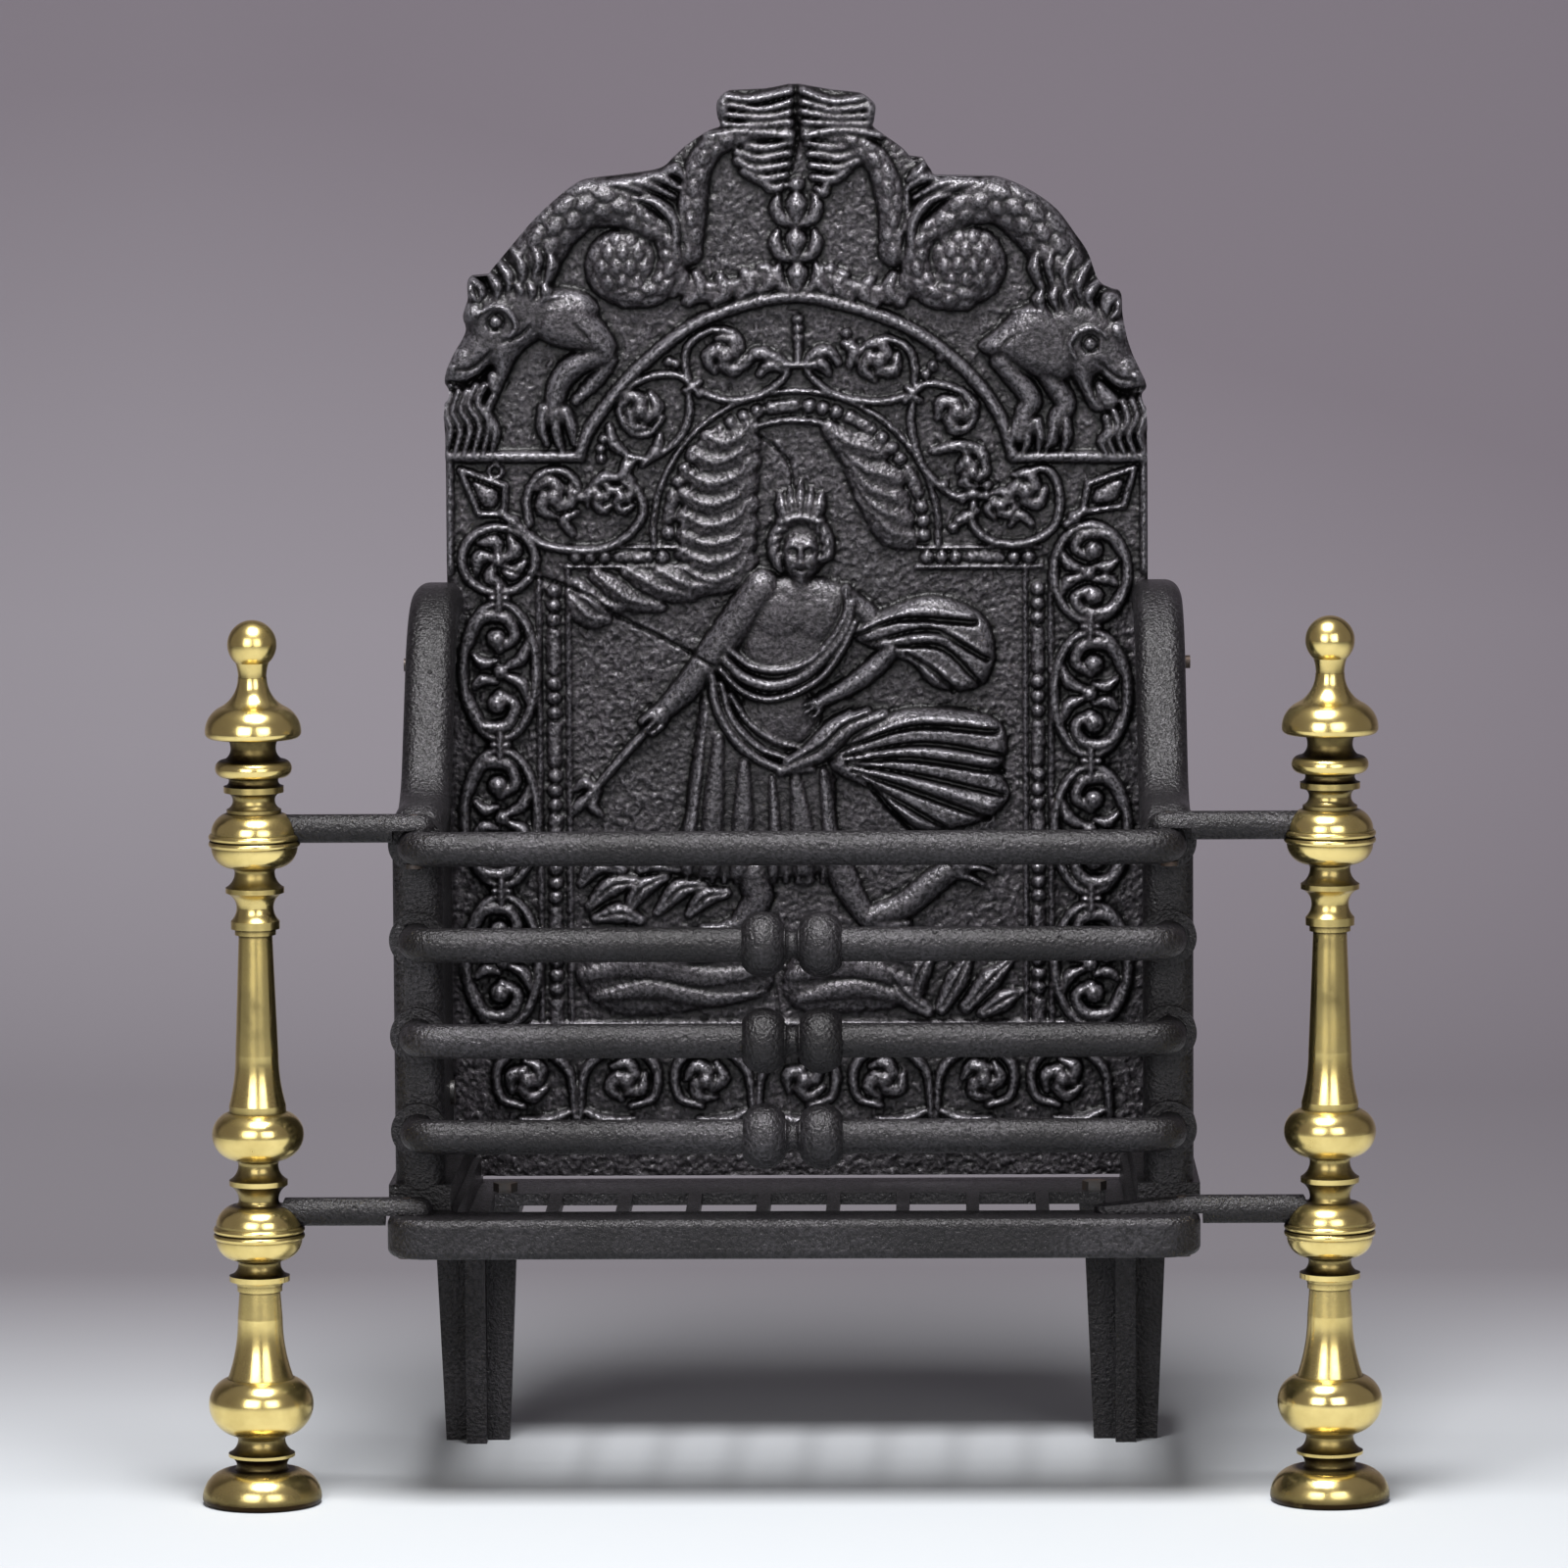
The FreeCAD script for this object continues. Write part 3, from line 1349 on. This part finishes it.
def make_standard(name, side):
    foot = make_turning(f"{name}_foot", side, FOOT_STEPS, NOTHING)
    hollow_foot(foot, f"{name}_foot")
    make_turning(f"{name}_lower_shaft", side, LOWER_SHAFT_STEPS, FOOT_HEIGHT)
    make_turning(f"{name}_lower_collar", side, LOWER_COLLAR_STEPS, LOWER_COLLAR_Z)
    knop = make_turning(f"{name}_middle_knop", side, MIDDLE_KNOP_STEPS, LOWER_SEAM)
    bore_for_arm(knop, f"{name}_middle_knop", side, LOWER_ARM_Z - LOWER_SEAM)
    make_turning(f"{name}_upper_shaft", side, UPPER_SHAFT_STEPS, UPPER_SHAFT_Z)
    make_turning(f"{name}_upper_collar", side, UPPER_COLLAR_STEPS, UPPER_COLLAR_Z)
    vase = make_turning(f"{name}_finial_vase", side, FINIAL_VASE_STEPS, UPPER_SEAM)
    bore_for_arm(vase, f"{name}_finial_vase", side, UPPER_ARM_Z - UPPER_SEAM)
    make_knob(f"{name}_finial_knob", side)
    make_rod(f"{name}_tie_rod", side)


# Arms

def make_arm(label, side, height, seam, lap_length, lap_rise, rivet_x, tongue_tip=None):
    """Round arm, saddled to the ball at one end and lapped on the basket at the other."""
    body = new_body(label)
    radius = size("arm_radius")
    gauge = size("standard_half_gauge")
    reach = gauge - rivet_x + lap_length
    bar = new_sketch(body, f"{label}_outline", "XY_Plane")
    draw(bar, [
        (size("rod_radius"), NOTHING),
        (reach, NOTHING, radius, -1),
        (reach - radius, radius),
        (size("rod_radius"), radius),
    ])
    revolve(body, f"{label}_bar", bar, "H_Axis")

    saddle = new_sketch(body, f"{label}_saddle_outline", "XZ_Plane")
    clearance = size("fit_clearance")
    ball = [(rise, around + clearance, kind) for rise, around, kind in [
        step(None, "ball_root_radius"),
        step("ball_half_rise", "ball_radius", BELLY),
    ] + GIRDLE_UNDER + GIRDLE_UNDER + [step("ball_half_rise", "ball_crown_radius", BELLY)]]
    bottom = seam - height - size("ball_half_rise") - size("girdle_rise")
    corners = [(corner[0], corner[1] + bottom) + tuple(corner[2:]) for corner in turned_corners(ball)]
    above = radius * CLEAR
    draw(saddle, [(NOTHING, bottom)] + corners + [(corners[-1][0], above), (NOTHING, above)])
    groove(body, f"{label}_saddle", saddle, "V_Axis")

    tenon = new_sketch(body, f"{label}_tenon_outline", "YZ_Plane", size("rod_radius") + clearance)
    draw_circle(tenon, NOTHING, NOTHING, size("arm_tenon_radius"))
    pad(body, f"{label}_tenon", tenon, size("girdle_radius"))

    lap = new_sketch(body, f"{label}_lap_outline", "XZ_Plane")
    lap_start = gauge - rivet_x - size("bar_radius") - size("lap_margin")
    draw_rectangle(lap, lap_start, reach + radius, -radius * CLEAR, -lap_rise)
    pocket(body, f"{label}_lap", lap, radius * 2.0 * CLEAR, midplane=True)
    if tongue_tip is not None:
        taper = new_sketch(body, f"{label}_tongue_outline", "XZ_Plane")
        draw(taper, [
            (lap_start, radius),
            (reach, tongue_tip - lap_rise),
            (reach + radius, tongue_tip - lap_rise),
            (reach + radius, radius * CLEAR),
            (lap_start, radius * CLEAR),
        ])
        pocket(body, f"{label}_tongue", taper, radius * 2.0 * CLEAR, midplane=True)
    rivet = new_sketch(body, f"{label}_rivet_hole", "XY_Plane")
    draw_circle(rivet, gauge - rivet_x, NOTHING, size("rivet_radius") + clearance)
    pocket(body, f"{label}_rivet_bore", rivet, radius * 2.0 * CLEAR, midplane=True)
    place(body, gauge * side, AXIS_Y, height, turn=as_size(HALF_TURN) if side > 0 else NOTHING)


def make_arms():
    for name, side in SIDES.items():
        make_arm(f"{name}_upper_arm", side, UPPER_ARM_Z, UPPER_SEAM, size("upper_lap_length"),
                 size("upper_lap_rise"), upper_rivet_x(1.0))
        tongue = size("tongue_tip_height") if side > 0 else None
        make_arm(f"{name}_lower_arm", side, LOWER_ARM_Z, LOWER_SEAM, size(f"{name}_lap_length"),
                 size("lower_lap_rise"), lower_rivet_x(1.0), tongue)


# Fixings

def group(label, members):
    """Identical fixings as one sub-part of separate solids."""
    made = doc.addObject("Part::Compound", label)
    made.Label = label
    made.Links = members
    nodes[label] = made


def cylinder(name, radius, height, lift=NOTHING):
    made = doc.addObject("Part::Cylinder", name)
    made.setExpression("Radius", radius.text)
    made.setExpression("Height", height.text)
    made.setExpression("Placement.Base.z", lift.text)
    return made


def hexagon(name, radius, height, lift=NOTHING):
    made = doc.addObject("Part::Prism", name)
    made.Polygon = 6
    made.setExpression("Circumradius", radius.text)
    made.setExpression("Height", height.text)
    made.setExpression("Placement.Base.z", lift.text)
    return made


def fused(name, members):
    made = doc.addObject("Part::MultiFuse", name)
    made.Shapes = members
    return made


def cut(name, base, tool):
    made = doc.addObject("Part::Cut", name)
    made.Base = base
    made.Tool = tool
    return made


def nut(name, radius, height, bore):
    """A hexagon nut with a plain bore."""
    return cut(name, hexagon(f"{name}_blank", radius, height),
               cylinder(f"{name}_bore", bore + size("fit_clearance"), height))


def make_bolts():
    """Bolts up into the cheeks' feet, and down through the deck into the legs' flanges."""
    head = size("bolt_head_height")
    cheek_bolts = []
    leg_bolts = []
    leg_nuts = []
    for name, side in SIDES.items():
        for end, along in CHEEK_BOLTS.items():
            tag = f"{name}_{end}_cheek_bolt"
            bolt = fused(tag, [
                hexagon(f"{tag}_head", size("bolt_head_radius"), head),
                cylinder(f"{tag}_shank", size("bolt_radius"),
                         head + size("rim_height") + size("cheek_bolt_reach")),
            ])
            across, depth = cheek_point(side, along)
            place(bolt, across, depth, GRATE_Z - head)
            cheek_bolts.append(bolt)
        across, depth = leg_bolt_point(side)
        tag = f"{name}_leg_bolt"
        nut_height = size("bolt_head_height")
        grip = size("deck_thickness") + size("leg_flange_thickness") + nut_height
        bolt = fused(tag, [
            hexagon(f"{tag}_head", size("bolt_head_radius"), head, grip),
            cylinder(f"{tag}_shank", size("bolt_radius"), head + grip),
        ])
        place(bolt, across, depth, DECK_TOP - grip)
        leg_bolts.append(bolt)
        leg_nut = nut(f"{name}_leg_nut", size("bolt_head_radius"), nut_height, size("bolt_radius"))
        place(leg_nut, across, depth, DECK_TOP - grip)
        leg_nuts.append(leg_nut)
    group("cheek_bolts", cheek_bolts)
    group("leg_bolts", leg_bolts)
    group("leg_nuts", leg_nuts)


def make_rivets():
    """Rivets through the lapped ends of the arms."""
    rivets = []
    head = size("rivet_head_height")
    for name, side in SIDES.items():
        laps = (
            ("upper", upper_rivet_x(side), TOP_BAR_Z - size("bar_radius"), UPPER_ARM_Z),
            ("lower", lower_rivet_x(side), GRATE_Z, LOWER_ARM_Z),
        )
        for level, across, bottom, arm in laps:
            tag = f"{name}_{level}_rivet"
            rivet = fused(tag, [
                cylinder(f"{tag}_tail", size("rivet_head_radius"), head),
                cylinder(f"{tag}_shank", size("rivet_radius"),
                         arm + size("arm_radius") - size("rivet_recess") - bottom, head),
            ])
            place(rivet, across, AXIS_Y, bottom - head)
            rivets.append(rivet)
    group("arm_rivets", rivets)


def clip_outline(side):
    """Plan of a strap that lies on the cheek's web and hooks behind the fireback."""
    face = size("web_thickness") / 2.0
    outside = face + size("clip_thickness")
    hook = FIREBACK_HALF - size("clip_lap") - size("cheek_half_gauge")
    front = CHEEK_DEPTH / cosine(SPLAY) - size("clip_reach")
    back = CHEEK_DEPTH + size("fireback_thickness")
    rear = back + size("clip_thickness")
    corners = [
        (face, front),
        (outside, front),
        (outside, along_cheek(outside, rear)),
        (hook, along_cheek(hook, rear)),
        (hook, along_cheek(hook, back)),
        (face, along_cheek(face, back)),
    ]
    mirrored = [(across * side, along) for across, along in corners]
    return mirrored if side > 0 else mirrored[::-1]


def make_clips():
    """Straps, bolts and nuts that hold the fireback to the cheeks."""
    clips = []
    bolts = []
    nuts = []
    head = size("rivet_head_height")
    web = size("web_thickness")
    for name, side in SIDES.items():
        for level in ("clip_low_height", "clip_high_height"):
            tag = f"{name}_{level}"
            strap = doc.addObject("PartDesign::Body", f"{tag}_strap")
            outline = new_sketch(strap, f"{tag}_strap_outline", "XY_Plane")
            draw(outline, clip_outline(side))
            pad(strap, f"{tag}_strap_pad", outline, size("clip_width"), midplane=True)
            hole = new_sketch(strap, f"{tag}_strap_hole", "YZ_Plane")
            draw_circle(hole, CLIP_BOLT_ALONG, NOTHING, size("clip_bolt_radius") + size("fit_clearance"))
            pocket(strap, f"{tag}_strap_bore", hole, web + size("clip_thickness"), backwards=side > 0)
            place(strap, size("cheek_half_gauge") * side, CHEEK_Y, RIM_TOP + size(level), turn=SPLAY * side)
            clips.append(strap)

            nut_height = size("clip_nut_height")
            grip = web + size("clip_thickness")
            bolt = fused(f"{tag}_bolt", [
                cylinder(f"{tag}_bolt_head", size("clip_nut_radius"), head),
                cylinder(f"{tag}_bolt_shank", size("clip_bolt_radius"),
                         head + grip + nut_height + size("clip_bolt_end")),
            ])
            across, along = cheek_point(side, CLIP_BOLT_ALONG)
            seat_clip(bolt, side, across, along, RIM_TOP + size(level), -(web / 2.0 + head))
            bolts.append(bolt)
            clip_nut = nut(f"{tag}_nut", size("clip_nut_radius"), nut_height, size("clip_bolt_radius"))
            seat_clip(clip_nut, side, across, along, RIM_TOP + size(level),
                      web / 2.0 + size("clip_thickness"))
            nuts.append(clip_nut)
    group("fireback_clips", clips)
    group("clip_bolts", bolts)
    group("clip_nuts", nuts)


def seat_clip(thing, side, across, along, height, outward):
    """Lay a fixing along the cheek's own cross direction, some way out from its middle plane."""
    turn = FreeCAD.Rotation(FreeCAD.Vector(0, 0, 1), SPLAY.value * side)
    lie = FreeCAD.Rotation(FreeCAD.Vector(0, 1, 0), RIGHT_ANGLE * side)
    thing.Placement = FreeCAD.Placement(FreeCAD.Vector(), turn.multiply(lie))
    thing.setExpression("Placement.Base.x", (across + outward * cosine(SPLAY) * side).text)
    thing.setExpression("Placement.Base.y", (along + outward * sine(SPLAY)).text)
    thing.setExpression("Placement.Base.z", height.text)


def make_foot_nuts():
    nuts = []
    for name, side in SIDES.items():
        foot_nut = nut(f"{name}_foot_nut", size("foot_nut_radius"), size("foot_nut_height"),
                       size("rod_radius"))
        place(foot_nut, size("standard_half_gauge") * side, AXIS_Y,
              size("foot_hollow_height") - size("foot_nut_height"))
        nuts.append(foot_nut)
    group("foot_nuts", nuts)


def build():
    make_grate()
    for name, side in SIDES.items():
        make_cheek(f"{name}_cheek", side)
        make_leg(f"{name}_leg", side)
        make_standard(name, side)
    make_fireback()
    for label, height in zip(BAR_LABELS, BAR_HEIGHTS):
        make_bar(label, height, knopped=height is not TOP_BAR_Z)
    make_arms()
    make_bolts()
    make_rivets()
    make_clips()
    make_foot_nuts()


def export():
    """Write every sub-part, once the whole document is known to be sound."""
    doc.recompute()
    for item in doc.Objects:
        if {"Invalid", "Error"} & set(item.State):
            raise RuntimeError(f"{item.Label} did not build: {item.State}")
    for label, item in nodes.items():
        if item.Shape.isNull() or not item.Shape.isValid():
            raise RuntimeError(f"{label} has no valid shape")
    os.makedirs("parts", exist_ok=True)
    for label, item in nodes.items():
        item.Shape.exportStep(f"parts/{label}.step")


build()
export()
